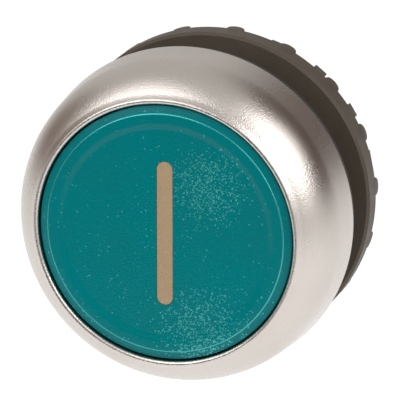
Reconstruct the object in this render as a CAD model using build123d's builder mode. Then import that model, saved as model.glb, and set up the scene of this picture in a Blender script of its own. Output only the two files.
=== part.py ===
"""Head of a 22 mm panel push button: flush green button in a satin bezel ring, with its fixing nut.

Frame, in millimetres: Y is the button's axis and points to the rear, Z is up, X is to the right of
someone who faces the button. The origin is on the axis, in the plane where the gasket meets the
panel, so all that stands in front of the panel has a negative Y.
"""
import os
from math import cos, radians, sin

from build123d import *

# ---- panel and barrel -------------------------------------------------------------------------
barrel_diameter = 22.0        # passes the standard 22.5 mm panel hole
barrel_length = 14.5          # behind the panel's front face
barrel_wall = 1.75
pilot_length = 1.0            # smooth ring that centres the barrel in the hole
spigot_length = 2.9           # plain end that takes the contact block's adapter
spigot_step = 1.0             # how far the spigot is below the pilot, in radius
notch_width = 3.0             # two notches in the spigot's end
notch_depth = 1.4
thread_pitch = 1.5
thread_depth = 0.8
thread_relief = 0.05          # crests below the pilot, in radius
keyway_width = 3.2            # slot along the top of the thread
keyway_depth = 1.1

# ---- gasket and bezel -------------------------------------------------------------------------
gasket_thickness = 1.2
gasket_set_in = 0.25          # gasket's rim inside the bezel's edge
gasket_groove = 0.25          # depth of the groove that holds the gasket on the barrel
gasket_lead_in = 0.3          # chamfer that lets the gasket slip over the thread
bezel_diameter = 29.7         # at its back edge
bezel_height = 7.8            # from the gasket to the lip
bezel_taper = 5.0             # degrees, over the straight back part
bezel_straight = 3.1          # height of the tapered back part
bezel_shell = 0.8             # thickness of the metal shell
lip_return = 2.2              # how far the shell turns down inside the opening
lip_width = 0.55              # rounded bead round the opening
lip_height = 0.32             # the bead above the end of the crown
bezel_edge = 0.12             # chamfer of the back edge

# ---- housing flange, inside the bezel ---------------------------------------------------------
flange_thickness = 1.4
snap_height = 0.3             # step that the bezel's insert snaps over
snap_depth = 0.4
insert_wall = 0.6             # wall of the insert round the flange
mouth_wall = 1.05             # the counterbore's extra radius over the bore
mouth_depth = 1.0

# ---- button -----------------------------------------------------------------------------------
button_diameter = 22.84
button_gap = 0.13             # round the button, in radius
button_set_back = 0.15        # face behind the lip
button_travel = 4.0
plate_rim = 0.8               # width of the sloping rim
plate_rim_drop = 0.25
plate_edge = 0.1              # rounding where the rim meets the side
dish_border = 1.5             # from the plate's edge to the shallow dish in its face
dish_slope = 0.7              # width of the dish's sloping side
dish_depth = 0.12
boss_diameter = 12.0          # ring that plugs the plate into its carrier
boss_wall = 1.0
boss_height = 0.8
symbol_length = 12.9
symbol_width = 1.45
symbol_depth = 0.4

# ---- carrier, plunger and spring --------------------------------------------------------------
slide_gap = 0.05              # running clearance of all sliding fits, in radius
carrier_lap = 0.72            # the plate's rim past the carrier's disc
carrier_disc = 0.4
bottoming_gap = 0.3           # between that disc and the flange, with the button pressed
carrier_web = 1.5
carrier_wall = 0.6
skirt_gap = 0.6               # between the skirt and the spring seat, with the button pressed
guide_rib_width = 1.6         # rib that keeps the symbol upright
guide_rib_height = 0.35
guide_gap = 0.1
stem_diameter = 8.0
stem_length = 11.4
snap_bead = 0.2
snap_bead_length = 0.4
seat_station = 6.6            # spring seat inside the barrel
seat_thickness = 1.0
seat_width = 2.45             # ledge inside the bore
stem_grip = 5.8               # length of the stem inside the plunger
plunger_sunk = 0.7            # inside the barrel's end, with the button pressed
collar_gap = 1.05             # round the plunger's collar, which holds the button in
collar_length = 1.0
rest_gap = 0.1                # between that collar and the seat at rest
spring_wire = 0.7
spring_turns = 5.5

# ---- diaphragm --------------------------------------------------------------------------------
diaphragm_skin = 0.35
bead_height = 1.0             # outer bead, held on the flange
bead_width = 1.5
inner_bead = 0.8              # bead round the carrier
clamp_thickness = 0.9
clamp_gap = 0.1

# ---- nut and washer ---------------------------------------------------------------------------
nut_diameter = 29.2
nut_station = 4.85            # front face of the nut at rest
nut_band = 2.45               # smooth rim
nut_length = 6.65
nut_hub = 24.6
grip_count = 18
grip_turn = 4.2               # degrees from +X to the first half-round lug
rib_turn = 11.2               # and to the first square rib
knuckle_radius = 0.8          # half-round lugs behind the rim
knuckle_set_in = 0.05         # their ends inside the rim
crown_rib_width = 1.3         # square ribs between them, on the hub
crown_rib_height = 0.9
washer_diameter = 24.4
washer_thickness = 0.8
washer_proud = 0.1            # in front of the nut
washer_gap = 0.1              # to the nut, in radius and along the axis
key_gap = 0.1                 # washer's key in the keyway, on each side

edge_break = 0.25             # small chamfers and roundings

# ---- places worked out from the values above ----------------------------------------------------
barrel_radius = barrel_diameter / 2
bore_radius = barrel_radius - barrel_wall
crest_radius = barrel_radius - thread_relief
root_radius = crest_radius - thread_depth
spigot_radius = barrel_radius - spigot_step
thread_end = barrel_length - spigot_length
keyway_floor = barrel_radius - keyway_depth

bezel_radius = bezel_diameter / 2
bezel_back = -gasket_thickness
lip = bezel_back - bezel_height
lip_foot = lip + lip_height
button_radius = button_diameter / 2
opening_radius = button_radius + button_gap
crown_start = bezel_back - bezel_straight
crown_start_radius = bezel_radius - bezel_straight * sin(radians(bezel_taper)) / cos(radians(bezel_taper))

flange_front = bezel_back - flange_thickness
flange_radius = crown_start_radius - bezel_shell - insert_wall
snap_radius = flange_radius - snap_depth
snap_station = bezel_back - snap_height
bead_front = flange_front - bead_height
clamp_front = bead_front - clamp_thickness
clamp_inner = opening_radius + clamp_gap
mouth_radius = bore_radius + mouth_wall

face = lip + button_set_back
dish_floor = face + dish_depth
dish_top_radius = button_radius - dish_border
dish_floor_radius = dish_top_radius - dish_slope
disc_back = flange_front - button_travel - bottoming_gap
plate_back = disc_back - carrier_disc
web_back = disc_back + carrier_web
carrier_radius = bore_radius - slide_gap
skirt_end = seat_station - button_travel - skirt_gap
stem_radius = stem_diameter / 2
stem_end = web_back + stem_length
seat_back = seat_station + seat_thickness
seat_radius = bore_radius - seat_width
plunger_radius = seat_radius - slide_gap
collar_front = seat_back + rest_gap
collar_back = collar_front + collar_length
plunger_end = barrel_length - button_travel - plunger_sunk
plunger_front = stem_end - stem_grip
spring_radius = (plunger_radius + carrier_radius - carrier_wall) / 2

nut_radius = nut_diameter / 2
nut_bore = barrel_radius + slide_gap
band_back = nut_station + nut_band
nut_end = nut_station + nut_length
washer_front = nut_station - washer_proud
washer_back = washer_front + washer_thickness
washer_radius = washer_diameter / 2


def station(y):
    """Plane across the axis at y, facing the rear."""
    return Plane(origin=(0, y, 0), x_dir=(1, 0, 0), z_dir=(0, 1, 0))


def ring(inner, outer, start, end, mode=Mode.ADD):
    """Ring round the axis between two radii, from start to end along it; inner 0 makes a disc."""
    with BuildSketch(station(start)) as section:
        Circle(outer)
        if inner:
            Circle(inner, mode=Mode.SUBTRACT)
    extrude(section.sketch, amount=end - start, mode=mode)


def block(width, low, high, start, end, mode=Mode.ADD):
    """Block centred on X = 0, between two heights and two stations."""
    with BuildSketch(Plane.XZ.offset(-start)) as section:
        with Locations((0, (low + high) / 2)):
            Rectangle(width, high - low)
    extrude(section.sketch, amount=start - end, mode=mode)


# ---- bezel ring: drawn metal shell over a plastic insert ------------------------------------------
with BuildSketch(Plane.XY) as lining:
    with BuildLine():
        lining_back = Line((bezel_radius - bezel_shell, bezel_back),
                           (crown_start_radius - bezel_shell, crown_start))
        lining_crown = TangentArc(lining_back @ 1, (opening_radius + bezel_shell, lip_foot + bezel_shell),
                                  tangent=lining_back % 1)
        Polyline(lining_crown @ 1, (opening_radius + bezel_shell, bezel_back), lining_back @ 0)
    make_face()

with BuildPart() as bezel_ring:
    with BuildSketch(Plane.XY):
        with BuildLine():
            back_part = Line((bezel_radius, bezel_back), (crown_start_radius, crown_start))
            crown = TangentArc(back_part @ 1, (opening_radius + lip_width, lip_foot),
                               tangent=back_part % 1)
            bead = ThreePointArc(crown @ 1, (opening_radius + lip_width / 2, lip),
                                 (opening_radius, lip_foot))
            Polyline(bead @ 1, (opening_radius, lip + lip_return),
                     (opening_radius + bezel_shell, lip + lip_return),
                     (opening_radius + bezel_shell, bezel_back), back_part @ 0)
        make_face()
        add(lining.sketch, mode=Mode.SUBTRACT)
    revolve(axis=Axis.Y)
    chamfer(bezel_ring.edges().filter_by(GeomType.CIRCLE).group_by(Axis.Y)[-1].sort_by(SortBy.RADIUS)[-1],
            bezel_edge)
bezel_ring.part.label = "bezel_ring"

# ---- bezel insert: lines the shell and snaps over the flange ----------------------------------------
with BuildPart() as bezel_insert:
    with BuildSketch(Plane.XY):
        add(lining.sketch)
        with BuildLine():
            Polyline((opening_radius, lip + lip_return),
                     (opening_radius + bezel_shell, lip + lip_return),
                     (opening_radius + bezel_shell, clamp_front),
                     (opening_radius, clamp_front),
                     close=True)
        make_face()
        with BuildLine():
            Polyline((opening_radius, clamp_front), (flange_radius, clamp_front),
                     (flange_radius, snap_station), (snap_radius, snap_station),
                     (snap_radius, bezel_back), (opening_radius, bezel_back),
                     close=True)
        make_face(mode=Mode.SUBTRACT)
    revolve(axis=Axis.Y)
bezel_insert.part.label = "bezel_insert"

# ---- barrel housing -------------------------------------------------------------------------------
with BuildPart() as barrel_housing:
    ring(bore_radius, flange_radius, flange_front, snap_station)
    ring(bore_radius, snap_radius, snap_station, bezel_back)
    ring(bore_radius, barrel_radius - gasket_groove, bezel_back, 0)
    ring(bore_radius, barrel_radius, 0, pilot_length)
    ring(bore_radius, crest_radius, pilot_length, thread_end)
    ring(bore_radius, spigot_radius, thread_end, barrel_length)
    chamfer(barrel_housing.edges().filter_by(GeomType.CIRCLE).group_by(Axis.Y)[-1].sort_by(SortBy.RADIUS)[-1],
            edge_break)
    ring(0, mouth_radius, flange_front, flange_front + mouth_depth, mode=Mode.SUBTRACT)
    with BuildSketch(Plane.XY):
        for turn in range(int((thread_end - pilot_length) / thread_pitch)):
            groove = thread_end - thread_pitch * (turn + 0.5)
            with BuildLine():
                Polyline((crest_radius + slide_gap, groove - 0.42 * thread_pitch),
                         (root_radius, groove - 0.08 * thread_pitch),
                         (root_radius, groove + 0.08 * thread_pitch),
                         (crest_radius + slide_gap, groove + 0.42 * thread_pitch),
                         close=True)
            make_face()
    revolve(axis=Axis.Y, mode=Mode.SUBTRACT)
    block(keyway_width, keyway_floor, barrel_radius + 1, 0, thread_end, mode=Mode.SUBTRACT)
    block(guide_rib_width + 2 * guide_gap, -carrier_radius - guide_rib_height - guide_gap, 0,
          flange_front, seat_station, mode=Mode.SUBTRACT)
    ring(seat_radius, bore_radius, seat_station, seat_back)
    with BuildSketch(station(barrel_length)):
        Rectangle(2 * barrel_radius, notch_width)
    extrude(amount=-notch_depth, mode=Mode.SUBTRACT)
barrel_housing.part.label = "barrel_housing"

# ---- panel gasket -----------------------------------------------------------------------------------
with BuildPart() as panel_gasket:
    ring(barrel_radius - gasket_groove, bezel_radius - gasket_set_in, bezel_back, 0)
    chamfer(panel_gasket.edges().filter_by(GeomType.CIRCLE).group_by(Axis.Y)[-1].sort_by(SortBy.RADIUS)[0],
            gasket_lead_in)
panel_gasket.part.label = "panel_gasket"

# ---- diaphragm seal and the ring that clamps its outer bead ---------------------------------------
with BuildPart() as diaphragm_seal:
    with BuildSketch(Plane.XY):
        with BuildLine():
            Polyline((bore_radius, disc_back),
                     (carrier_radius + inner_bead, disc_back),
                     (carrier_radius + inner_bead, disc_back + inner_bead / 2),
                     (mouth_radius + 2 * diaphragm_skin, flange_front - diaphragm_skin),
                     (flange_radius - clamp_gap - bead_width, flange_front - diaphragm_skin),
                     (flange_radius - clamp_gap - bead_width, bead_front),
                     (flange_radius - clamp_gap, bead_front),
                     (flange_radius - clamp_gap, flange_front),
                     (mouth_radius + diaphragm_skin, flange_front),
                     (carrier_radius + inner_bead - diaphragm_skin, disc_back + inner_bead),
                     (bore_radius, disc_back + inner_bead),
                     close=True)
        make_face()
    revolve(axis=Axis.Y)
diaphragm_seal.part.label = "diaphragm_seal"

with BuildPart() as diaphragm_clamp_ring:
    ring(clamp_inner, flange_radius, clamp_front, bead_front)
diaphragm_clamp_ring.part.label = "diaphragm_clamp_ring"

# ---- button plate and its symbol ----------------------------------------------------------------------
with BuildPart() as symbol_inlay:
    with BuildSketch(station(dish_floor)):
        SlotOverall(symbol_length, symbol_width, rotation=90)
    extrude(amount=symbol_depth)
symbol_inlay.part.label = "symbol_inlay"

with BuildPart() as button_plate:
    with BuildSketch(Plane.XY):
        with BuildLine():
            floor = Line((0, dish_floor), (dish_floor_radius, dish_floor))
            rise = TangentArc(floor @ 1, ((dish_floor_radius + dish_top_radius) / 2, (dish_floor + face) / 2),
                              tangent=floor % 1)
            crest = TangentArc(rise @ 1, (dish_top_radius, face), tangent=rise % 1)
            flat = Line(crest @ 1, (button_radius - plate_rim, face))
            Polyline(flat @ 1, (button_radius, face + plate_rim_drop), (button_radius, plate_back),
                     (0, plate_back), floor @ 0)
        make_face()
    revolve(axis=Axis.Y)
    fillet(button_plate.edges().filter_by(GeomType.CIRCLE).filter_by(
        lambda edge: abs(edge.radius - button_radius) < 0.001).sort_by(Axis.Y)[0], plate_edge)
    ring(boss_diameter / 2 - boss_wall, boss_diameter / 2, plate_back, plate_back + boss_height)
    with BuildSketch(station(dish_floor)):
        SlotOverall(symbol_length, symbol_width, rotation=90)
    extrude(amount=symbol_depth, mode=Mode.SUBTRACT)
button_plate.part.label = "button_plate"

# ---- button carrier -------------------------------------------------------------------------------------
with BuildPart() as button_carrier:
    ring(0, button_radius - carrier_lap, plate_back, disc_back)
    ring(0, carrier_radius, disc_back, web_back)
    ring(carrier_radius - carrier_wall, carrier_radius, web_back, skirt_end)
    ring(0, stem_radius, web_back, stem_end)
    ring(stem_radius, stem_radius + snap_bead, stem_end - 3 * snap_bead_length,
         stem_end - 2 * snap_bead_length)
    block(guide_rib_width, -carrier_radius - guide_rib_height, -carrier_radius + carrier_wall / 2,
          flange_front + mouth_depth, skirt_end)
    ring(boss_diameter / 2 - boss_wall, boss_diameter / 2, plate_back, plate_back + boss_height,
         mode=Mode.SUBTRACT)
button_carrier.part.label = "button_carrier"

# ---- plunger that works the contact blocks ----------------------------------------------------------
with BuildPart() as plunger:
    ring(0, plunger_radius, plunger_front, plunger_end)
    ring(plunger_radius, bore_radius - collar_gap, collar_front, collar_back)
    chamfer(plunger.edges().filter_by(GeomType.CIRCLE).group_by(Axis.Y)[-1], edge_break)
    ring(0, stem_radius, plunger_front, stem_end + rest_gap, mode=Mode.SUBTRACT)
    ring(stem_radius, stem_radius + snap_bead, stem_end - 3 * snap_bead_length,
         stem_end - 2 * snap_bead_length, mode=Mode.SUBTRACT)
plunger.part.label = "plunger"

# ---- return spring ------------------------------------------------------------------------------------
with BuildPart() as return_spring:
    with BuildLine() as coil:
        coil_length = seat_station - web_back - spring_wire - 2 * slide_gap
        Helix(pitch=coil_length / spring_turns, height=coil_length, radius=spring_radius,
              center=(0, web_back + spring_wire / 2 + slide_gap, 0), direction=(0, 1, 0))
    with BuildSketch(Plane(origin=coil.line @ 0, z_dir=coil.line % 0)):
        Circle(spring_wire / 2)
    sweep(path=coil.line, is_frenet=True)
return_spring.part.label = "return_spring"

# ---- thrust washer, keyed to the barrel -----------------------------------------------------------
with BuildPart() as thrust_washer:
    ring(nut_bore, washer_radius, washer_front, washer_back)
    block(keyway_width - 2 * key_gap, keyway_floor + 2 * key_gap, nut_bore + spigot_step / 2,
          washer_front, washer_back)
thrust_washer.part.label = "thrust_washer"

# ---- fixing nut -----------------------------------------------------------------------------------------
with BuildPart() as fixing_nut:
    ring(nut_bore, nut_radius, nut_station, band_back)
    chamfer(fixing_nut.edges().filter_by(GeomType.CIRCLE).sort_by(SortBy.RADIUS)[-2:], edge_break)
    ring(nut_bore, nut_hub / 2, band_back, nut_end)
    with Locations(station(band_back)):
        with PolarLocations((nut_hub / 2 + nut_radius) / 2 - knuckle_set_in, grip_count,
                            start_angle=-grip_turn):
            Cylinder(knuckle_radius, nut_radius - nut_hub / 2, rotation=(0, 90, 0))
    with Locations(station((band_back + nut_end) / 2)):
        with PolarLocations(nut_hub / 2, grip_count, start_angle=-rib_turn):
            Box(2 * crown_rib_height, crown_rib_width, nut_end - band_back)
    ring(0, nut_bore, nut_station, nut_end, mode=Mode.SUBTRACT)
    ring(0, washer_radius + washer_gap, nut_station, washer_back + washer_gap, mode=Mode.SUBTRACT)
fixing_nut.part.label = "fixing_nut"

# ---- write the pieces ---------------------------------------------------------------------------------
os.makedirs("parts", exist_ok=True)
for piece in (bezel_ring, bezel_insert, barrel_housing, panel_gasket, diaphragm_seal,
              diaphragm_clamp_ring, symbol_inlay, button_plate, button_carrier, plunger,
              return_spring, thrust_washer, fixing_nut):
    export_step(piece.part, f"parts/{piece.part.label}.step")
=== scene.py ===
"""Looks of a flush push button head for a 22 mm panel hole.

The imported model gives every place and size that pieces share. This script models the visible pieces
again with finer edges and surfaces, gives each piece its finish, and sets up the floor, the light and
the camera. Sizes are in millimetres unless a name says otherwise; Blender's own unit is the metre.
"""
import logging
import math
from dataclasses import dataclass
from enum import Enum
from typing import Optional, Sequence

import bmesh
import bpy
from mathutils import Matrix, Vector


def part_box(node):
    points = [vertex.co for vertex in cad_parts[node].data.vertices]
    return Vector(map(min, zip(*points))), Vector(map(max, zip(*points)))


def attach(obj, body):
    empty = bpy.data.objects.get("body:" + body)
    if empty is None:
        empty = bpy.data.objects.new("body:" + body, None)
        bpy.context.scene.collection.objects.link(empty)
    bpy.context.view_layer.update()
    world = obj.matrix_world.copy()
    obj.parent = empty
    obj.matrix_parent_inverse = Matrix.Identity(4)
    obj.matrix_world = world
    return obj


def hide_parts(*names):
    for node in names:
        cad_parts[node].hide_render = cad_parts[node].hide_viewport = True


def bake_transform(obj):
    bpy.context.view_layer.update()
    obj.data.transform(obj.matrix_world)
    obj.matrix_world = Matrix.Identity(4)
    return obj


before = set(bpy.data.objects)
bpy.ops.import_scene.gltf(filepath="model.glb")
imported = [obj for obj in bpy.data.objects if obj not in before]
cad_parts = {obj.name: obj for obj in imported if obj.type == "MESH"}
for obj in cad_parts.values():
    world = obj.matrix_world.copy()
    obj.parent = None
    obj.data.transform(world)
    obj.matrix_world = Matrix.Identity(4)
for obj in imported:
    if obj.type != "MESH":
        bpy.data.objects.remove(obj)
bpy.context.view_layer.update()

MM = 0.001
TURN_STEPS = 256
MERGE_DISTANCE = 0.0001 * MM
log = logging.getLogger("push_button")

Point = tuple[float, float]


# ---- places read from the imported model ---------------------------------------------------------


def front_of(node: str) -> float:
    """Return the station of a node's front, in mm along the axis."""
    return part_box(node)[0].y / MM


def back_of(node: str) -> float:
    """Return the station of a node's back, in mm along the axis."""
    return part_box(node)[1].y / MM


def radius_of(node: str) -> float:
    """Return a node's largest half-width, in mm."""
    return max(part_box(node)[1].x, -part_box(node)[0].x) / MM


# ---- bench: the modelling moves ----------------------------------------------------------------


class Bench:
    """The few moves that every piece is made with, each by Blender's own operators."""

    @staticmethod
    def clear() -> None:
        """Leave edit mode and deselect everything."""
        if bpy.context.mode != "OBJECT":
            bpy.ops.object.mode_set(mode="OBJECT")
        bpy.ops.object.select_all(action="DESELECT")

    @staticmethod
    def pick(piece: bpy.types.Object) -> None:
        """Make one piece the only one selected, and active.

        Args:
            piece: The piece.
        """
        Bench.clear()
        piece.select_set(True)
        bpy.context.view_layer.objects.active = piece

    @staticmethod
    def settle(piece: bpy.types.Object) -> None:
        """Move a piece's place and turn into its mesh."""
        Bench.pick(piece)
        bpy.ops.object.transform_apply(location=True, rotation=True, scale=True)

    @staticmethod
    def turn(name: str, outline: Sequence[Point], steps: int = TURN_STEPS) -> bpy.types.Object:
        """Turn a closed outline round the Y axis, as on a lathe.

        Args:
            name: The piece's name.
            outline: Corners as (radius, station) in mm, in order; the last joins the first.
            steps: Steps of the turn.

        Returns:
            The turned piece, with its normals outwards.
        """
        Bench.clear()
        radius, place = outline[0]
        bpy.ops.mesh.primitive_plane_add(size=MM, location=(radius * MM, place * MM, 0))
        piece = bpy.context.object
        piece.name = piece.data.name = name
        bpy.ops.object.mode_set(mode="EDIT")
        bpy.ops.mesh.merge(type="CENTER")
        for (r0, y0), (r1, y1) in zip(outline, [*outline[1:], outline[0]]):
            move = ((r1 - r0) * MM, (y1 - y0) * MM, 0)
            bpy.ops.mesh.extrude_vertices_move(TRANSFORM_OT_translate={"value": move})
        bpy.ops.mesh.select_all(action="SELECT")
        bpy.ops.mesh.spin(steps=steps, angle=math.tau, center=(0, 0, 0), axis=(0, 1, 0))
        Bench.close_up(piece)
        return piece

    @staticmethod
    def close_up(piece: bpy.types.Object) -> None:
        """Merge doubled points, drop faces with no area and stray edges, and turn all faces outwards.

        Args:
            piece: The piece, whose surface closes on itself.
        """
        Bench.pick(piece)
        bpy.ops.object.mode_set(mode="EDIT")
        bpy.ops.mesh.select_all(action="SELECT")
        bpy.ops.mesh.remove_doubles(threshold=MERGE_DISTANCE)
        bpy.ops.mesh.dissolve_degenerate(threshold=MERGE_DISTANCE)
        bpy.ops.mesh.delete_loose(use_verts=True, use_edges=True, use_faces=False)
        bpy.ops.mesh.select_all(action="SELECT")
        bpy.ops.mesh.normals_make_consistent(inside=False)
        bpy.ops.object.mode_set(mode="OBJECT")
        Bench.settle(piece)

    @staticmethod
    def block(name: str, size: Sequence[float], centre: Sequence[float]) -> bpy.types.Object:
        """Add a block.

        Args:
            name: The block's name.
            size: Its size along X, Y and Z, in mm.
            centre: Its middle, in mm.

        Returns:
            The block.
        """
        Bench.clear()
        bpy.ops.mesh.primitive_cube_add(size=MM, location=[c * MM for c in centre], scale=size)
        piece = bpy.context.object
        piece.name = piece.data.name = name
        Bench.settle(piece)
        return piece

    @staticmethod
    def soften(piece: bpy.types.Object, width: float, segments: int = 3, angle: float = 30) -> None:
        """Round a piece's sharp edges.

        Args:
            piece: The piece.
            width: Width of the rounding, in mm.
            segments: Faces across the rounding.
            angle: Edges sharper than this, in degrees, are rounded.
        """
        Bench.pick(piece)
        bevel = piece.modifiers.new("softened edges", "BEVEL")
        bevel.width = width * MM
        bevel.segments = segments
        bevel.limit_method = "ANGLE"
        bevel.angle_limit = math.radians(angle)
        bevel.use_clamp_overlap = True
        bpy.ops.object.modifier_apply(modifier=bevel.name)
        Bench.close_up(piece)

    @staticmethod
    def combine(piece: bpy.types.Object, tool: bpy.types.Object, operation: str) -> None:
        """Cut a tool out of a piece or weld it on; the tool is used up.

        Args:
            piece: The piece that stays.
            tool: The piece that is cut out or welded on.
            operation: DIFFERENCE to cut, UNION to weld.
        """
        Bench.pick(piece)
        boolean = piece.modifiers.new(operation.lower(), "BOOLEAN")
        boolean.object = tool
        boolean.operation = operation
        boolean.solver = "EXACT"
        bpy.ops.object.modifier_apply(modifier=boolean.name)
        bpy.data.objects.remove(tool)
        Bench.close_up(piece)

    @staticmethod
    def copies_round(piece: bpy.types.Object, count: int, first: float = 0) -> bpy.types.Object:
        """Set copies of a piece round the Y axis and join them into one mesh.

        Args:
            piece: The piece to copy, which becomes the first of the ring.
            count: How many stand in the full ring.
            first: Angle of the first, in degrees.

        Returns:
            The joined ring.
        """
        ring = [piece]
        for _ in range(count - 1):
            Bench.pick(piece)
            bpy.ops.object.duplicate(linked=False)
            ring.append(bpy.context.object)
        for index, copy in enumerate(ring):
            Bench.pick(copy)
            angle = math.radians(first) + math.tau * index / count
            bpy.ops.transform.rotate(value=angle, orient_axis="Y", center_override=(0, 0, 0))
            bpy.ops.object.transform_apply(location=True, rotation=True, scale=True)
        Bench.clear()
        for copy in ring:
            copy.select_set(True)
        bpy.context.view_layer.objects.active = piece
        bpy.ops.object.join()
        return piece

    @staticmethod
    def wind(profile: bpy.types.Object, turns: float, length: float, steps: int) -> None:
        """Wind a closed profile round the Y axis as a helix, and close its two ends.

        Args:
            profile: The profile, which becomes the wound piece.
            turns: How many turns it makes.
            length: How far it climbs in all, in mm.
            steps: Steps of one turn.
        """
        screw = profile.modifiers.new("helix", "SCREW")
        screw.axis = "Y"
        screw.angle = math.tau * turns
        screw.screw_offset = length * MM
        screw.steps = screw.render_steps = int(steps * turns)
        screw.use_merge_vertices = False
        bpy.ops.object.modifier_apply(modifier=screw.name)
        bpy.ops.object.mode_set(mode="EDIT")
        bpy.ops.mesh.select_all(action="DESELECT")
        bpy.ops.mesh.select_mode(type="EDGE")
        bpy.ops.mesh.select_non_manifold()
        bpy.ops.mesh.edge_face_add()
        bpy.ops.mesh.select_mode(type="VERT")
        Bench.close_up(profile)

    @staticmethod
    def smooth(piece: bpy.types.Object, angle: float = 32) -> None:
        """Shade a piece smooth, apart from edges sharper than an angle in degrees."""
        Bench.pick(piece)
        bpy.ops.object.shade_smooth_by_angle(angle=math.radians(angle))


def arc(centre: Point, radius: float, start: float, end: float, steps: int) -> list[Point]:
    """Return points along an arc.

    Args:
        centre: The arc's centre, in mm.
        radius: Its radius, in mm.
        start: Angle of its first point, in degrees from the +radius direction.
        end: Angle of its last point.
        steps: Spans along the arc.

    Returns:
        The steps + 1 points.
    """
    angles = [math.radians(start + (end - start) * i / steps) for i in range(steps + 1)]
    return [(centre[0] + radius * math.cos(a), centre[1] + radius * math.sin(a)) for a in angles]


def tangent_arc(start: Point, heading: float, end: Point, steps: int) -> list[Point]:
    """Return points along the arc that leaves one point at a heading and reaches another.

    Args:
        start: The arc's first point, in mm.
        heading: Its direction there, in degrees from the +radius direction.
        end: Its last point, in mm.
        steps: Spans along the arc.

    Returns:
        The steps + 1 points.
    """
    along, across = end[0] - start[0], end[1] - start[1]
    turn = math.degrees(math.atan2(across, along)) - heading
    turn = (turn + 180) % 360 - 180
    radius = math.hypot(along, across) / (2 * math.sin(math.radians(abs(turn))))
    side = math.copysign(90, turn)
    centre = (start[0] + radius * math.cos(math.radians(heading + side)),
              start[1] + radius * math.sin(math.radians(heading + side)))
    return arc(centre, radius, heading - side, heading - side + 2 * turn, steps)


# ---- finishes ----------------------------------------------------------------------------------


def linear(hex_colour: str) -> tuple[float, float, float, float]:
    """Turn an sRGB colour to a linear one.

    Args:
        hex_colour: The colour as a hex value such as "#00807B".

    Returns:
        Its linear red, green and blue, with an alpha of 1.
    """
    values = [int(hex_colour[i:i + 2], 16) / 255 for i in (1, 3, 5)]
    lin = [v / 12.92 if v <= 0.04045 else ((v + 0.055) / 1.055) ** 2.4 for v in values]
    return (*lin, 1.0)


def add_node(tree: bpy.types.NodeTree, kind: str, inputs: Optional[dict] = None,
             **settings: object) -> bpy.types.Node:
    """Add a node, with its settings, its values and its links.

    Args:
        tree: The node tree.
        kind: The node's type name.
        inputs: Socket names or numbers, each with a value or with the socket that feeds it.
        settings: The node's own properties.

    Returns:
        The new node.
    """
    node = tree.nodes.new(kind)
    for name, value in settings.items():
        setattr(node, name, value)
    for socket, value in (inputs or {}).items():
        if isinstance(value, bpy.types.NodeSocket):
            tree.links.new(value, node.inputs[socket])
        else:
            node.inputs[socket].default_value = value
    return node


def per_metre(size: float) -> float:
    """Return a noise scale, in cells per metre, from a grain size in mm."""
    return 1 / (size * MM)


@dataclass(frozen=True)
class Finish:
    """A material with a grain, a slow unevenness of colour and gloss, and its own gloss values.

    Sizes are in mm: grain and cloud are the width of one cell of the fine and of the slow pattern.
    """

    name: str
    colour: str
    shade: str
    roughness: float
    roughness_spread: float = 0.06
    metallic: float = 0.0
    grain: float = 0.12
    grain_depth: float = 0.004
    cloud: float = 4.0
    specular: float = 0.5

    def material(self) -> bpy.types.Material:
        """Build the material.

        Returns:
            The new material.
        """
        material = bpy.data.materials.new(self.name)
        material.use_nodes = True
        tree = material.node_tree
        tree.nodes.clear()
        place = add_node(tree, "ShaderNodeTexCoord").outputs["Object"]
        cloud = add_node(tree, "ShaderNodeTexNoise", {"Vector": place, "Scale": per_metre(self.cloud),
                                                      "Detail": 3.0, "Roughness": 0.55})
        grain = add_node(tree, "ShaderNodeTexNoise", {"Vector": place, "Scale": per_metre(self.grain),
                                                      "Detail": 2.0, "Roughness": 0.6})
        bump = add_node(tree, "ShaderNodeBump", {"Height": grain.outputs["Fac"], "Strength": 1.0,
                                                 "Distance": self.grain_depth * MM})
        gloss = add_node(tree, "ShaderNodeMapRange",
                         {"Value": cloud.outputs["Fac"], "From Min": 0.3, "From Max": 0.7,
                          "To Min": self.roughness - self.roughness_spread,
                          "To Max": self.roughness + self.roughness_spread})
        shader = add_node(tree, "ShaderNodeBsdfPrincipled",
                          {"Metallic": self.metallic, **self.paint(tree, place, cloud),
                           "Roughness": gloss.outputs["Result"],
                           "Specular IOR Level": self.specular, "Normal": bump.outputs["Normal"]})
        add_node(tree, "ShaderNodeOutputMaterial", {"Surface": shader.outputs["BSDF"]})
        return material

    def paint(self, tree: bpy.types.NodeTree, place: bpy.types.NodeSocket,
              cloud: bpy.types.Node) -> dict[str, bpy.types.NodeSocket]:
        """Mix the two colours by the cloud pattern.

        Args:
            tree: The node tree.
            place: The coordinates' socket.
            cloud: The slow pattern's node.

        Returns:
            What feeds the shader's colour.
        """
        mix = add_node(tree, "ShaderNodeMix", {"Factor": cloud.outputs["Fac"],
                                               "A": linear(self.colour), "B": linear(self.shade)},
                       data_type="RGBA")
        return {"Base Color": mix.outputs["Result"]}


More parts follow.
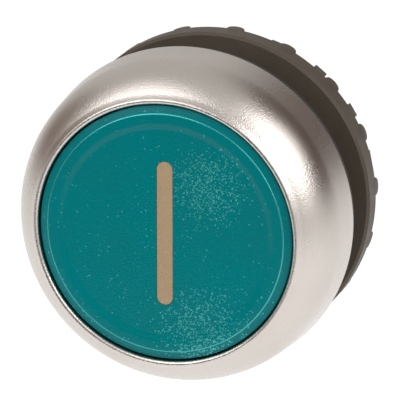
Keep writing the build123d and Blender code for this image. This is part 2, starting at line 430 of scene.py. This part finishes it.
@dataclass(frozen=True)
class SparkErodedFinish(Finish):
    """A moulded finish: bright cells that are partly real metallic facets and partly painted glints in
    a lighter colour, set thicker in two spots of painted highlight, and a painted highlight along the
    crease.

    Sizes are in mm. A patch is given by the X and Z of its middle and by its reach.
    """

    # the glint colour, lighter than the plate, is a painted glint
    glint: str = "#4FAFAD"
    glint_metal: float = 0.45
    glint_size: float = 0.1
    glint_share: float = 0.006
    # where the bright cells gather thick, in two spots, is a painted highlight
    painted_highlight_share: float = 0.3
    painted_highlight_patches: tuple[tuple[float, float, float], ...] = ((3.8, 4.4, 4.6), (3.4, -8.6, 5.2))
    # a lighter, more metallic ring along the crease is a painted highlight
    crease: float = 10.68
    crease_highlight_width: float = 0.06
    crease_highlight_colour: str = "#43A6A6"
    crease_highlight_metal: float = 0.65

    def paint(self, tree: bpy.types.NodeTree, place: bpy.types.NodeSocket,
              cloud: bpy.types.Node) -> dict[str, bpy.types.NodeSocket]:
        """Lay the bright cells and the painted crease highlight over the mixed colour.

        Args:
            tree: The node tree.
            place: The coordinates' socket.
            cloud: The slow pattern's node.

        Returns:
            What feeds the shader's colour and its metallic value.
        """
        plain = super().paint(tree, place, cloud)["Base Color"]
        facet_and_painted_glint, crease_highlight = self.facets_and_painted_glints(tree, place), self.painted_crease_highlight(tree, place)
        # painted glints: the bright cells take a lighter colour
        glinting = add_node(tree, "ShaderNodeMix",
                            {"Factor": facet_and_painted_glint, "A": plain, "B": linear(self.glint)},
                            data_type="RGBA").outputs["Result"]
        # the painted crease highlight: a lighter colour along the crease
        colour = add_node(tree, "ShaderNodeMix",
                          {"Factor": crease_highlight, "A": glinting, "B": linear(self.crease_highlight_colour)},
                          data_type="RGBA").outputs["Result"]
        shine = add_node(tree, "ShaderNodeMath", {0: facet_and_painted_glint, 1: self.glint_metal},
                         operation="MULTIPLY").outputs["Value"]
        # the painted crease highlight also turns partly metallic
        crease_highlight_shine = add_node(tree, "ShaderNodeMath", {0: crease_highlight, 1: self.crease_highlight_metal},
                          operation="MULTIPLY").outputs["Value"]
        metal = add_node(tree, "ShaderNodeMath", {0: shine, 1: crease_highlight_shine}, operation="MAXIMUM")
        return {"Base Color": colour, "Metallic": metal.outputs["Value"]}

    def facets_and_painted_glints(self, tree: bpy.types.NodeTree, place: bpy.types.NodeSocket) -> bpy.types.NodeSocket:
        """Pick the bright cells: real metallic facets whose lighter colour is a painted glint, set
        thicker in two spots of painted highlight.

        Args:
            tree: The node tree.
            place: The coordinates' socket.

        Returns:
            A socket that is 1 on a facet and 0 elsewhere.
        """
        cells = add_node(tree, "ShaderNodeTexVoronoi",
                         {"Vector": place, "Scale": per_metre(self.glint_size)}).outputs["Color"]
        chance = add_node(tree, "ShaderNodeSeparateColor", {"Color": cells}).outputs["Red"]
        station = front_of("button_plate")
        share = self.glint_share
        # the bright cells are set thicker near each spot: a painted highlight
        for x, z, reach in self.painted_highlight_patches:
            gap = add_node(tree, "ShaderNodeVectorMath",
                           {0: place, 1: (x * MM, station * MM, z * MM)},
                           operation="DISTANCE").outputs["Value"]
            near = add_node(tree, "ShaderNodeMapRange",
                            {"Value": gap, "From Min": 0.0, "From Max": reach * MM,
                             "To Min": self.painted_highlight_share, "To Max": self.glint_share},
                            interpolation_type="SMOOTHSTEP").outputs["Result"]
            share = add_node(tree, "ShaderNodeMath", {0: share, 1: near},
                             operation="MAXIMUM").outputs["Value"]
        limit = add_node(tree, "ShaderNodeMath", {0: 1.0, 1: share},
                         operation="SUBTRACT").outputs["Value"]
        return add_node(tree, "ShaderNodeMath", {0: chance, 1: limit},
                        operation="GREATER_THAN").outputs["Value"]

    def painted_crease_highlight(self, tree: bpy.types.NodeTree,
                      place: bpy.types.NodeSocket) -> bpy.types.NodeSocket:
        """Mark the narrow ring round the Y axis along the crease, where a painted highlight goes.

        Args:
            tree: The node tree.
            place: The coordinates' socket.

        Returns:
            A socket that is 1 on the ring and 0 elsewhere.
        """
        outwards = add_node(tree, "ShaderNodeVectorMath", {0: place, 1: (1, 0, 1)},
                            operation="MULTIPLY").outputs["Vector"]
        reach = add_node(tree, "ShaderNodeVectorMath", {0: outwards},
                         operation="LENGTH").outputs["Value"]
        return add_node(tree, "ShaderNodeMath",
                        {0: reach, 1: self.crease * MM, 2: self.crease_highlight_width * MM},
                        operation="COMPARE").outputs["Value"]


# The real grains are a few hundredths of a millimetre wide. Those below are drawn wider, so that
# they show from where the object is seen.

# satin chrome over a blasted surface: soft reflections that break up into a fine sparkle
SATIN_CHROME = Finish("satin chrome", "#CBC5C0", "#C1BAB4", roughness=0.28, roughness_spread=0.03,
                      metallic=1.0, grain=0.14, grain_depth=0.027, cloud=6.0)
# green polycarbonate from a spark-eroded mould: semi-gloss with small glints, partly painted, gathered
# in two spots of painted highlight, and a painted highlight along the crease
GREEN_POLYCARBONATE = SparkErodedFinish("green polycarbonate", "#00767C", "#006A6C", roughness=0.2,
                                        grain=0.2, grain_depth=0.02, cloud=7.0, specular=0.14)
# tan ABS, moulded flush into the plate: matt, with a barely uneven colour
TAN_ABS = Finish("tan abs", "#A88E72", "#9A8363", roughness=0.5, grain=0.16, grain_depth=0.02,
                 cloud=0.6)
# glass-filled polyamide, moulded: matt and slightly brown, with a coarse grain
BROWN_POLYAMIDE = Finish("glass-filled polyamide", "#473F37", "#4E453C", roughness=0.5,
                         grain=0.16, grain_depth=0.03, cloud=3.0, specular=0.25)
# black polyamide, moulded: half matt
BLACK_POLYAMIDE = Finish("black polyamide", "#2A2725", "#312E2B", roughness=0.45, grain=0.16,
                         grain_depth=0.02)
# grey acetal, moulded: smooth and a little waxy
GREY_ACETAL = Finish("grey acetal", "#8E8C86", "#86847E", roughness=0.38, grain=0.3, grain_depth=0.008)
# nitrile rubber, moulded: matt black with a dusty bloom
NITRILE_RUBBER = Finish("nitrile rubber", "#1F1E1D", "#2A2928", roughness=0.72, grain=0.25,
                        grain_depth=0.03)
# phosphated steel: dark and dull, with a fine crystal grain
PHOSPHATED_STEEL = Finish("phosphated steel", "#33302D", "#3C3935", roughness=0.5, metallic=0.6,
                          grain=0.1, grain_depth=0.003)
# drawn spring steel: bright wire with faint drawing marks
SPRING_STEEL = Finish("spring steel", "#B9B6B0", "#A8A49D", roughness=0.25, metallic=1.0, grain=0.08,
                      grain_depth=0.001)


class Slot(Enum):
    """The record's material slots."""

    BEZEL = "bezel_satin"
    PLATE = "button_green"
    SYMBOL = "symbol_tan"
    HOUSING = "housing_black"
    NUT = "nut_black"
    GASKET = "gasket_rubber"
    DIAPHRAGM = "diaphragm_rubber"
    PLUNGER = "plunger_grey"
    WASHER = "washer_black"
    SPRING = "spring_steel"


def hand_in(piece: bpy.types.Object, node: str, finish: bpy.types.Material,
            body: Optional[str] = "housing") -> None:
    """Dress a finished piece, let it stand for its CAD node and tie it to its body.

    Args:
        piece: The finished piece.
        node: The CAD node that it stands for.
        finish: Its material.
        body: The body that it rides on; None if it spans two bodies.
    """
    piece.data.materials.clear()
    piece.data.materials.append(finish)
    if body:
        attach(piece, body)
    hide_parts(node)
    log.info("%s: %d faces, %s", piece.name, len(piece.data.polygons), finish.name)


# ---- sub-assemblies ----------------------------------------------------------------------------


@dataclass
class Bezel:
    """Satin ring in front of the panel: a drawn shell with a rounded bead round its opening."""

    taper: float = 5.0
    straight: float = 3.1
    shell: float = 0.8
    lip_width: float = 0.55
    lip_height: float = 0.32
    lip_return: float = 2.2
    lip_start: int = 35
    lip_step: int = 12
    crown_steps: int = 40
    lining_steps: int = 16
    back_edge: float = 0.12
    opening: float = 11.55
    sharp: float = 25.0

    def build(self) -> None:
        """Turn the ring: side, crown, bead and opening, then back along the inside of the shell."""
        back, lip = back_of("bezel_ring"), front_of("bezel_ring")
        slope = math.tan(math.radians(self.taper))
        heading = -90 - self.taper
        outer = radius_of("bezel_ring") + self.back_edge * slope
        shoulder = (outer - self.straight * slope, back - self.straight)
        foot = (self.opening + self.lip_width, lip + self.lip_height)
        bead = (self.opening + self.lip_width / 2, foot[1])
        outline = [(outer - self.back_edge, back),
                   (outer - self.back_edge * slope, back - self.back_edge)]
        # the crown's last two points give way to the bead
        outline += tangent_arc(shoulder, heading, foot, self.crown_steps)[:-2]
        outline += [(bead[0] + self.lip_width / 2 * math.cos(math.radians(a)),
                     bead[1] - self.lip_height * math.sin(math.radians(a)))
                    for a in range(self.lip_start, 180, self.lip_step)]
        inner = self.opening + self.shell
        outline += [(self.opening, lip + self.lip_return), (inner, lip + self.lip_return)]
        lining = tangent_arc((shoulder[0] - self.shell, shoulder[1]), heading,
                             (inner, foot[1] + self.shell), self.lining_steps)
        outline += lining[::-1]
        outline += [(outer - self.shell, back)]
        ring = Bench.turn("bezel_ring_satin", outline)
        Bench.smooth(ring, self.sharp)
        hand_in(ring, "bezel_ring", SATIN_CHROME.material())


@dataclass
class Button:
    """Green plate with a dished face, and the bar set into it."""

    rim: float = 0.8
    rim_drop: float = 0.25
    rim_edge: float = 0.1
    crease_round: float = 0.15
    crease_turn: float = 50.0
    back_edge: float = 0.12
    dish_border: float = 1.5
    dish_slope: float = 0.7
    boss: float = 6.0
    boss_wall: float = 1.0
    symbol_length: float = 12.9
    symbol_width: float = 1.45
    symbol_line: float = 0.03
    symbol_edge: float = 0.05
    bed_depth: float = 0.4
    dish_steps: int = 12
    crease_steps: int = 10
    edge_steps: int = 6
    bar_steps: int = 48
    sharp: float = 25.0

    def build(self) -> None:
        """Model the plate and the symbol, and hand them in."""
        self.plate()
        self.symbol()

    def plate(self) -> None:
        """Turn the green plate and cut the symbol's bed."""
        face, radius = front_of("button_plate"), radius_of("button_plate")
        back, boss_back = front_of("button_carrier"), back_of("button_plate")
        floor, crest = front_of("symbol_inlay"), radius - self.dish_border
        foot, rim_start = crest - self.dish_slope, radius - self.rim
        rim_slope = self.rim_drop / self.rim
        outline = [(0, floor), (foot, floor)]
        outline += [(foot + self.dish_slope * i / self.dish_steps,
                     floor + (face - floor) * (1 - math.cos(math.pi * i / self.dish_steps)) / 2)
                    for i in range(1, self.dish_steps + 1)]
        outline += arc((rim_start, face + self.crease_round), self.crease_round,
                       -90, self.crease_turn - 90, self.crease_steps)
        edge_start = (radius - self.rim_edge, face + self.rim_drop - self.rim_edge * rim_slope)
        outline += tangent_arc(edge_start, math.degrees(math.atan(rim_slope)),
                               (radius, face + self.rim_drop + self.rim_edge), self.edge_steps)
        inside = self.boss - self.boss_wall
        outline += [(radius, back - self.back_edge), (radius - self.back_edge, back),
                    (self.boss, back), (self.boss, boss_back), (inside, boss_back),
                    (inside, back), (0, back)]
        plate = Bench.turn("button_plate_green", outline)
        bed = self.bar("symbol_bed", floor - self.bed_depth, floor + self.bed_depth, self.symbol_line)
        Bench.combine(plate, bed, "DIFFERENCE")
        Bench.smooth(plate, self.sharp)
        hand_in(plate, "button_plate", GREEN_POLYCARBONATE.material(), "button")

    def bar(self, name: str, front: float, back: float, spare: float = 0) -> bpy.types.Object:
        """Make an upright bar with round ends between two stations.

        Args:
            name: The bar's name.
            front: Station of its front face, in mm.
            back: Station of its back face, in mm.
            spare: Extra size on every side, in mm.

        Returns:
            The bar.
        """
        radius = self.symbol_width / 2 + spare
        reach = self.symbol_length / 2 - self.symbol_width / 2
        Bench.clear()
        bpy.ops.mesh.primitive_cylinder_add(vertices=self.bar_steps, radius=radius * MM,
                                            depth=(back - front) * MM,
                                            location=(0, (front + back) / 2 * MM, 0),
                                            rotation=(math.pi / 2, 0, 0))
        piece = bpy.context.object
        piece.name = piece.data.name = name
        Bench.settle(piece)
        bpy.ops.object.mode_set(mode="EDIT")
        for side in (1, -1):
            mesh = bmesh.from_edit_mesh(piece.data)
            for vert in mesh.verts:
                vert.select = side * vert.co.z > MERGE_DISTANCE
            mesh.select_flush_mode()
            bpy.ops.transform.translate(value=(0, 0, side * reach * MM))
        bpy.ops.object.mode_set(mode="OBJECT")
        return piece

    def symbol(self) -> None:
        """Make the bar that is set into the plate."""
        inlay = self.bar("symbol_bar", front_of("symbol_inlay"), back_of("symbol_inlay"))
        Bench.soften(inlay, self.symbol_edge, segments=2)
        Bench.smooth(inlay)
        hand_in(inlay, "symbol_inlay", TAN_ABS.material(), "button")


@dataclass
class Plunger:
    """Rear part of what moves: it pushes the contact blocks, and its collar keeps the button in."""

    body: float = 6.75
    socket: float = 4.0
    end_wall: float = 3.6
    collar_place: float = 1.1
    collar_length: float = 1.0
    recess_outer: float = 5.6
    recess_inner: float = 1.6
    recess_slope: float = 0.4
    recess_depth: float = 0.6
    edge: float = 0.15
    steps: int = 128

    def build(self) -> None:
        """Turn the plunger, with its collar and a ring recess in its rear face."""
        front, back, collar = front_of("plunger"), back_of("plunger"), radius_of("plunger")
        collar_back, recess_floor = back - self.collar_place, back - self.recess_depth
        collar_front = collar_back - self.collar_length
        outline = [(self.socket, front), (self.body, front), (self.body, collar_front),
                   (collar, collar_front), (collar, collar_back), (self.body, collar_back),
                   (self.body, back), (self.recess_outer, back),
                   (self.recess_outer - self.recess_slope, recess_floor),
                   (self.recess_inner + self.recess_slope, recess_floor), (self.recess_inner, back),
                   (0, back), (0, back - self.end_wall), (self.socket, back - self.end_wall)]
        plunger = Bench.turn("plunger_turned", outline, self.steps)
        Bench.soften(plunger, self.edge)
        Bench.smooth(plunger)
        hand_in(plunger, "plunger", GREY_ACETAL.material(), "button")


@dataclass
class Barrel:
    """Housing with its flange, its threaded barrel and the spigot at its end."""

    bore: float = 9.25
    pilot: float = 11.0
    pilot_length: float = 1.0
    neck: float = 10.75
    snap_width: float = 0.4
    snap_height: float = 0.3
    seal_bed_width: float = 1.05
    seal_bed_depth: float = 1.0
    seat: float = 6.8
    seat_front: float = 6.6
    seat_back: float = 7.6
    crest: float = 10.95
    pitch: float = 1.5
    thread_depth: float = 0.8
    thread_sunk: float = 0.1
    thread_flank: float = 0.34
    thread_flat: float = 0.24
    thread_steps: int = 96
    run_in: float = 0.4
    spigot: float = 10.0
    spigot_length: float = 2.9
    keyway_width: float = 3.2
    keyway_depth: float = 1.1
    keyway_cutter: float = 3.0
    notch_width: float = 3.0
    notch_depth: float = 1.4
    edge: float = 0.12

    def build(self) -> None:
        """Turn the barrel, wind its thread and cut the keyway and the notches."""
        front, end = front_of("barrel_housing"), back_of("barrel_housing")
        flange, flange_back = radius_of("barrel_housing"), front_of("panel_gasket")
        snap_front = flange_back - self.snap_height
        thread_end, root = end - self.spigot_length, self.crest - self.thread_depth
        seal_bed, bed_floor = self.bore + self.seal_bed_width, front + self.seal_bed_depth
        outline = [(self.bore, end), (self.spigot, end), (self.spigot, thread_end), (root, thread_end),
                   (root, self.pilot_length + self.run_in), (self.pilot, self.pilot_length),
                   (self.pilot, 0), (self.neck, 0), (self.neck, flange_back),
                   (flange - self.snap_width, flange_back), (flange - self.snap_width, snap_front),
                   (flange, snap_front), (flange, front), (seal_bed, front), (seal_bed, bed_floor),
                   (self.bore, bed_floor), (self.bore, self.seat_front), (self.seat, self.seat_front),
                   (self.seat, self.seat_back), (self.bore, self.seat_back)]
        housing = Bench.turn("barrel_housing_moulded", outline)
        Bench.soften(housing, self.edge, segments=2)
        Bench.combine(housing, self.thread(self.pilot_length, thread_end), "UNION")
        keyway_middle = self.pilot - self.keyway_depth + self.keyway_cutter / 2
        keyway = Bench.block("keyway", (self.keyway_width, thread_end, self.keyway_cutter),
                             (0, thread_end / 2, keyway_middle))
        Bench.combine(housing, keyway, "DIFFERENCE")
        notches = Bench.block("notches", (2 * self.pilot, 2 * self.notch_depth, self.notch_width),
                              (0, end, 0))
        Bench.combine(housing, notches, "DIFFERENCE")
        Bench.smooth(housing)
        hand_in(housing, "barrel_housing", BLACK_POLYAMIDE.material())

    def thread(self, start: float, end: float) -> bpy.types.Object:
        """Wind the thread's ridge as a helix between two stations.

        Args:
            start: Station where the thread begins, in mm.
            end: Station where it ends, in mm.

        Returns:
            The ridge, closed at both ends.
        """
        turns = (end - start) / self.pitch - 1
        height = self.thread_depth + self.thread_sunk
        foot = self.crest - height
        Bench.clear()
        bpy.ops.mesh.primitive_plane_add(size=MM,
                                         location=(foot * MM, (start + self.pitch / 2) * MM, 0))
        ridge = bpy.context.object
        ridge.name = ridge.data.name = "thread_ridge"
        bpy.ops.object.mode_set(mode="EDIT")
        bpy.ops.mesh.merge(type="CENTER")
        half = self.thread_flank + self.thread_flat / 2
        for out, along in ((0, -half), (height, self.thread_flank), (0, self.thread_flat),
                           (-height, self.thread_flank), (0, -half)):
            move = (out * MM, along * self.pitch * MM, 0)
            bpy.ops.mesh.extrude_vertices_move(TRANSFORM_OT_translate={"value": move})
        bpy.ops.mesh.select_all(action="SELECT")
        bpy.ops.mesh.remove_doubles(threshold=MERGE_DISTANCE)
        bpy.ops.object.mode_set(mode="OBJECT")
        Bench.settle(ridge)
        Bench.wind(ridge, turns, self.pitch * turns, self.thread_steps)
        return ridge


@dataclass
class Gasket:
    """Rubber ring between the bezel and the panel, with two sealing grooves in its rear face."""

    inner: float = 10.75
    lead_in: float = 0.3
    rim_round: float = 0.3
    round_steps: int = 6
    grooves: tuple[float, ...] = (1.3, 2.4)
    groove_half_width: float = 0.3
    groove_depth: float = 0.25

    def build(self) -> None:
        """Turn the gasket and hand it in."""
        front, back, rim = front_of("panel_gasket"), back_of("panel_gasket"), radius_of("panel_gasket")
        outline = [(self.inner, front), (rim, front)]
        outline += arc((rim - self.rim_round, back - self.rim_round), self.rim_round, 0, 90,
                       self.round_steps)
        for groove in (rim - inwards for inwards in self.grooves):
            outline += [(groove + self.groove_half_width, back), (groove, back - self.groove_depth),
                        (groove - self.groove_half_width, back)]
        outline += [(self.inner + self.lead_in, back), (self.inner, back - self.lead_in)]
        gasket = Bench.turn("panel_gasket_rubber", outline)
        Bench.smooth(gasket)
        hand_in(gasket, "panel_gasket", NITRILE_RUBBER.material())


@dataclass
class FixingNut:
    """Nut behind the panel: a smooth rim, half-round lugs behind it and square ribs on its hub."""

    bore: float = 11.05
    band: float = 2.45
    hub: float = 12.3
    edge: float = 0.25
    recess: float = 12.3
    recess_depth: float = 0.8
    count: int = 18
    lug: float = 0.8
    lug_turn: float = 4.2
    lug_sunk: float = 0.2
    lug_edge: float = 0.1
    lug_steps: int = 32
    rib_width: float = 1.3
    rib_height: float = 0.9
    rib_turn: float = 11.2
    rib_sunk: float = 0.2
    rib_edge: float = 0.08

    def build(self) -> None:
        """Turn the nut, then weld the lugs and the ribs to it."""
        front, back, rim = front_of("fixing_nut"), back_of("fixing_nut"), radius_of("fixing_nut")
        band_back = front + self.band
        outline = [(self.bore, back), (self.hub, back), (self.hub, band_back),
                   (rim - self.edge, band_back), (rim, band_back - self.edge),
                   (rim, front + self.edge), (rim - self.edge, front), (self.recess, front),
                   (self.recess, front + self.recess_depth), (self.bore, front + self.recess_depth)]
        nut = Bench.turn("fixing_nut_moulded", outline)
        Bench.combine(nut, self.lugs(rim, band_back), "UNION")
        Bench.combine(nut, self.ribs(band_back, back), "UNION")
        Bench.smooth(nut)
        hand_in(nut, "fixing_nut", BROWN_POLYAMIDE.material(), "nut")

    def lugs(self, rim: float, station: float) -> bpy.types.Object:
        """Make the ring of half-round lugs behind the nut's rim.

        Args:
            rim: Radius that the lugs reach, in mm.
            station: Station of the lugs' middle, in mm.

        Returns:
            The ring of lugs.
        """
        Bench.clear()
        length = rim - self.hub + self.lug_sunk
        bpy.ops.mesh.primitive_cylinder_add(vertices=self.lug_steps, radius=self.lug * MM,
                                            depth=length * MM,
                                            location=((rim - length / 2) * MM, station * MM, 0),
                                            rotation=(0, math.pi / 2, 0))
        lug = bpy.context.object
        lug.name = lug.data.name = "grip_lugs"
        Bench.settle(lug)
        Bench.soften(lug, self.lug_edge)
        return Bench.copies_round(lug, self.count, self.lug_turn)

    def ribs(self, front: float, back: float) -> bpy.types.Object:
        """Make the ring of square ribs on the nut's hub, between the lugs.

        Args:
            front: Station of the rim's back, where the ribs start, in mm.
            back: Station of their back, in mm.

        Returns:
            The ring of ribs.
        """
        size = (2 * self.rib_height, back - front + self.rib_sunk, self.rib_width)
        rib = Bench.block("grip_ribs", size, (self.hub, (front + back - self.rib_sunk) / 2, 0))
        Bench.soften(rib, self.rib_edge)
        return Bench.copies_round(rib, self.count, self.rib_turn)


@dataclass
class Washer:
    """Keyed washer that the nut turns on."""

    bore: float = 11.05
    key_width: float = 3.0
    key_tip: float = 10.1
    key_weld: float = 0.5
    edge: float = 0.08

    def build(self) -> None:
        """Turn the washer and weld its key on."""
        front, back = front_of("thrust_washer"), back_of("thrust_washer")
        rim = radius_of("thrust_washer")
        washer = Bench.turn("thrust_washer_steel", [(self.bore, front), (rim, front), (rim, back),
                                                    (self.bore, back)])
        key_root = self.bore + self.key_weld
        key = Bench.block("washer_key", (self.key_width, back - front, key_root - self.key_tip),
                          (0, (front + back) / 2, (key_root + self.key_tip) / 2))
        Bench.combine(washer, key, "UNION")
        Bench.soften(washer, self.edge, segments=2)
        Bench.smooth(washer)
        hand_in(washer, "thrust_washer", PHOSPHATED_STEEL.material(), "washer")


@dataclass
class Spring:
    """Return spring between the barrel's seat and the carrier."""

    wire: float = 0.7
    turns: float = 5.5
    mean_radius: float = 7.66
    wire_steps: int = 16
    turn_steps: int = 64
    sharp: float = 50.0

    def build(self) -> None:
        """Wind the spring between the housing and the button."""
        front, back = front_of("return_spring"), back_of("return_spring")
        place = (self.mean_radius * MM, (front + self.wire / 2) * MM, 0)
        Bench.clear()
        bpy.ops.mesh.primitive_circle_add(vertices=self.wire_steps, radius=self.wire / 2 * MM,
                                          fill_type="NGON", location=place)
        coil = bpy.context.object
        coil.name = coil.data.name = "return_spring_wound"
        Bench.settle(coil)
        bpy.ops.object.mode_set(mode="EDIT")
        bpy.ops.mesh.delete(type="ONLY_FACE")
        bpy.ops.object.mode_set(mode="OBJECT")
        Bench.wind(coil, self.turns, back - front - self.wire, self.turn_steps)
        Bench.smooth(coil, self.sharp)
        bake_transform(coil)
        hand_in(coil, "return_spring", SPRING_STEEL.material(), None)


@dataclass
class Diaphragm:
    """Rubber skin from a bead on the flange to a bead on the carrier.

    Points are given as (radius, distance from the piece's front), in mm.
    """

    inner: float = 9.25
    inner_bead: Point = (10.0, 0.8)
    bead_edge: float = 0.4
    outside_front: Point = (10.45, 1.7)
    inside_front: Point = (10.1, 1.8)
    inside_bead: float = 9.65
    skin: float = 0.35
    bend: float = 0.2
    outside_foot: float = 10.9
    web: float = 11.1
    inside_foot: float = 10.65
    outer_bead_width: float = 1.5
    outer_bead_height: float = 1.0
    steps: int = 128

    def build(self) -> None:
        """Turn the diaphragm between the housing and the button."""
        front, back = front_of("diaphragm_seal"), back_of("diaphragm_seal")
        rim = radius_of("diaphragm_seal")
        bead, bead_back = self.inner_bead[0], front + self.inner_bead[1]
        web_front, outer_bead = back - self.skin, rim - self.outer_bead_width
        outer_bead_front = back - self.outer_bead_height
        outline = [(self.inner, front), (bead, front), (bead, front + self.bead_edge),
                   (self.outside_front[0], front + self.outside_front[1]),
                   (self.outside_foot, web_front - self.bend), (self.web, web_front),
                   (outer_bead, web_front), (outer_bead, outer_bead_front), (rim, outer_bead_front),
                   (rim, back), (self.inside_foot, back),
                   (self.inside_front[0], front + self.inside_front[1]),
                   (self.inside_bead, bead_back), (self.inner, bead_back)]
        seal = Bench.turn("diaphragm_seal_rubber", outline, self.steps)
        Bench.smooth(seal)
        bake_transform(seal)
        hand_in(seal, "diaphragm_seal", NITRILE_RUBBER.material(), None)


def dress_hidden_pieces(nodes: dict[str, bpy.types.Object]) -> None:
    """Give the CAD pieces that stay as they are their finishes.

    Args:
        nodes: The CAD nodes by name.
    """
    black, grey = BLACK_POLYAMIDE.material(), GREY_ACETAL.material()
    finishes = {"bezel_insert": black, "diaphragm_clamp_ring": black, "button_carrier": grey}
    for name, finish in finishes.items():
        nodes[name].data.materials.clear()
        nodes[name].data.materials.append(finish)
        log.info("%s: CAD piece, %s", name, finish.name)


# ---- studio ------------------------------------------------------------------------------------


@dataclass(frozen=True)
class DullCorner:
    """A duller part of the room: its direction, its spread in degrees and its colour."""

    aim: tuple[float, float, float]
    spread: float
    shade: str


@dataclass(frozen=True)
class SoftLight:
    """A round light: the direction it hangs in, its width in mm, and how bright against white at 1."""

    name: str
    aim: tuple[float, float, float]
    size: float
    radiance: float


@dataclass
class Studio:
    """Pale floor, soft lights and the camera. Sizes are in mm and angles in degrees."""

    floor_drop: float = 60.0
    floor_glow: float = 0.66
    floor_shade: str = "#C8C8C8"
    floor_roughness: float = 0.9
    floor_front: float = -150.0
    floor_size: float = 4000.0
    room: str = "#D9D7D4"
    corners: tuple[DullCorner, ...] = (DullCorner((0.67, 0.59, 0.44), 50, "#5A463E"),
                                       DullCorner((-0.97, 0.17, 0.19), 32, "#857368"),
                                       DullCorner((-0.29, -0.91, -0.28), 60, "#0C0C0C"))
    lights: tuple[SoftLight, ...] = (SoftLight("right light", (0.79, -0.26, 0.55), 195, 2.4),
                                     SoftLight("left light", (-0.44, -0.62, 0.66), 240, 1.9))
    light_distance: float = 220.0
    azimuth: float = 17.5
    elevation: float = 16.5
    distance: float = 345.0
    lens: float = 360.0
    sensor: float = 36.0
    nearest: float = 10.0
    right: float = 3.13
    up: float = 2.98

    def build(self) -> None:
        """Set up the floor, the lights and the camera."""
        self.floor()
        self.sky()
        for lamp in self.lights:
            self.light(lamp)
        self.camera()

    def floor(self) -> None:
        """Lay a large pale floor well below the button. It glows a little, so that it stays white."""
        Bench.clear()
        middle = (0, (self.floor_front + self.floor_size / 2) * MM, -self.floor_drop * MM)
        bpy.ops.mesh.primitive_plane_add(size=self.floor_size * MM, location=middle)
        floor = bpy.context.object
        floor.name = "studio_floor"
        material = bpy.data.materials.new("white floor")
        material.use_nodes = True
        shader = material.node_tree.nodes["Principled BSDF"]
        shader.inputs["Base Color"].default_value = linear(self.floor_shade)
        shader.inputs["Roughness"].default_value = self.floor_roughness
        shader.inputs["Emission Color"].default_value = (1, 1, 1, 1)
        shader.inputs["Emission Strength"].default_value = self.floor_glow
        floor.data.materials.append(material)

    def sky(self) -> None:
        """Surround the scene with a plain room: white behind the object, duller in some corners."""
        world = bpy.data.worlds.new("studio room")
        world.use_nodes = True
        tree = world.node_tree
        tree.nodes.clear()
        direction = add_node(tree, "ShaderNodeTexCoord").outputs["Generated"]
        tone = add_node(tree, "ShaderNodeRGB")
        tone.outputs[0].default_value = linear(self.room)
        colour = tone.outputs[0]
        for corner in self.corners:
            facing = add_node(tree, "ShaderNodeVectorMath",
                              {0: direction, 1: Vector(corner.aim).normalized()},
                              operation="DOT_PRODUCT").outputs["Value"]
            amount = add_node(tree, "ShaderNodeMapRange",
                              {"Value": facing, "From Min": math.cos(math.radians(corner.spread)),
                               "From Max": 1.0}, interpolation_type="SMOOTHERSTEP").outputs["Result"]
            colour = add_node(tree, "ShaderNodeMix",
                              {"Factor": amount, "A": colour, "B": linear(corner.shade)},
                              data_type="RGBA").outputs["Result"]
        seen = add_node(tree, "ShaderNodeLightPath").outputs["Is Camera Ray"]
        room = add_node(tree, "ShaderNodeBackground", {"Color": colour, "Strength": 1.0})
        white = add_node(tree, "ShaderNodeBackground", {"Color": (1, 1, 1, 1), "Strength": 1.0})
        mix = add_node(tree, "ShaderNodeMixShader", {0: seen, 1: room.outputs[0], 2: white.outputs[0]})
        add_node(tree, "ShaderNodeOutputWorld", {"Surface": mix.outputs[0]})
        bpy.context.scene.world = world

    def light(self, lamp: SoftLight) -> None:
        """Hang a round soft light that faces the object.

        Args:
            lamp: The light's name, direction, width and brightness.
        """
        data = bpy.data.lights.new(lamp.name, "AREA")
        data.shape = "DISK"
        data.size = lamp.size * MM
        data.energy = lamp.radiance * math.pi * math.pi * (lamp.size * MM / 2) ** 2
        light = bpy.data.objects.new(lamp.name, data)
        away = Vector(lamp.aim).normalized()
        light.location = away * self.light_distance * MM
        light.rotation_euler = (-away).to_track_quat("-Z", "Y").to_euler()
        bpy.context.scene.collection.objects.link(light)

    def camera(self) -> None:
        """Set the camera off to the right and above, with a long lens."""
        azimuth, elevation = math.radians(self.azimuth), math.radians(self.elevation)
        away = Vector((math.sin(azimuth) * math.cos(elevation),
                       -math.cos(azimuth) * math.cos(elevation), math.sin(elevation)))
        right = Vector((math.cos(azimuth), math.sin(azimuth), 0))
        up = right.cross(-away)
        aim = Vector((0, front_of("bezel_ring") * MM, 0)) + (right * self.right + up * self.up) * MM
        data = bpy.data.cameras.new("camera")
        data.lens = self.lens
        data.sensor_width = self.sensor
        data.clip_start = self.nearest * MM
        camera = bpy.data.objects.new("camera", data)
        camera.location = aim + away * self.distance * MM
        camera.rotation_euler = (-away).to_track_quat("-Z", "Y").to_euler()
        bpy.context.scene.collection.objects.link(camera)
        bpy.context.scene.camera = camera
        bpy.context.scene.view_settings.view_transform = "Standard"


def main() -> None:
    """Build every piece, then the studio."""
    logging.basicConfig(level=logging.INFO, format="%(message)s")
    for piece in (Bezel(), Button(), Plunger(), Barrel(), Gasket(), FixingNut(), Washer(), Spring(),
                  Diaphragm()):
        piece.build()
    dress_hidden_pieces(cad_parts)
    Studio().build()


if __name__ == "__main__":
    main()
